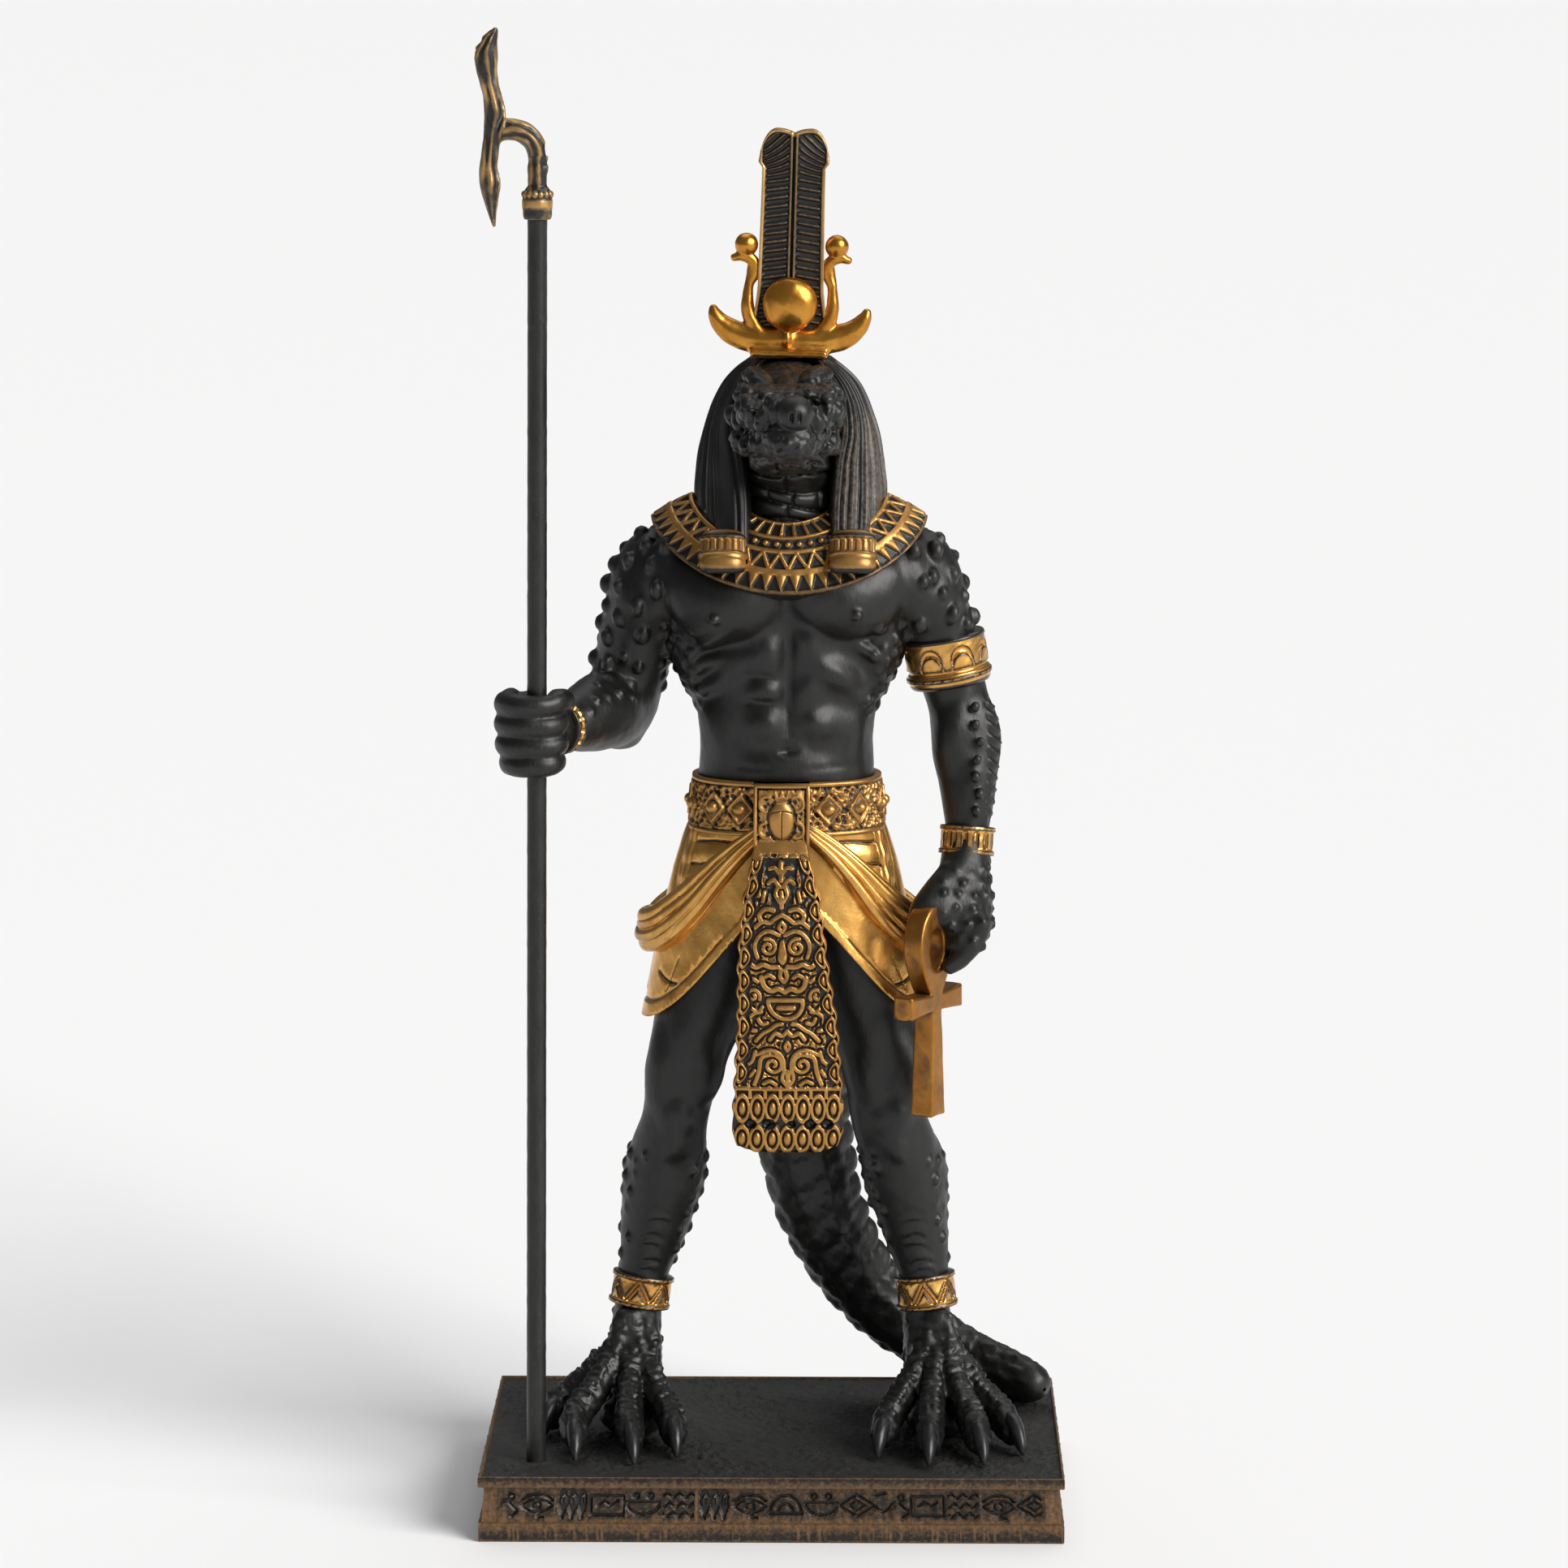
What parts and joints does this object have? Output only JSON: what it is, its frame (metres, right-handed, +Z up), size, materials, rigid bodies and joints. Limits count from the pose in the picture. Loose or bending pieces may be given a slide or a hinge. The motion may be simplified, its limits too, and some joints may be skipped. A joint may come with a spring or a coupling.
{
  "type": "sobek crocodile figure",
  "caption": "Standing crocodile-headed figure with plumed crown, staff and ankh on a rectangular plinth, cast-resin souvenir statue.",
  "frame": {"origin": "centre of the plinth's underside", "axes": "+Z up along the standing height, -Y the way the figure faces, +X to the viewer's right"},
  "size_m": [0.115, 0.079, 0.2943],
  "materials": {
    "plinth": "cast resin, black with a rough sandy top and bronze rubbed edges",
    "figure": "cast resin, satin black skin with gilded collar, belt, kilt and bands",
    "crown": "cast resin painted antique gold over black",
    "staff_rod": "satin black painted rod",
    "staff_head": "cast resin, black with rubbed gold ridges",
    "ankh": "cast resin painted antique gold"
  },
  "bodies": {
    "root": {"plinth": "plinth", "figure": "figure", "crown": "crown", "staff_rod": "staff_rod", "staff_head": "staff_head", "ankh": "ankh"}
  },
  "joints": []
}
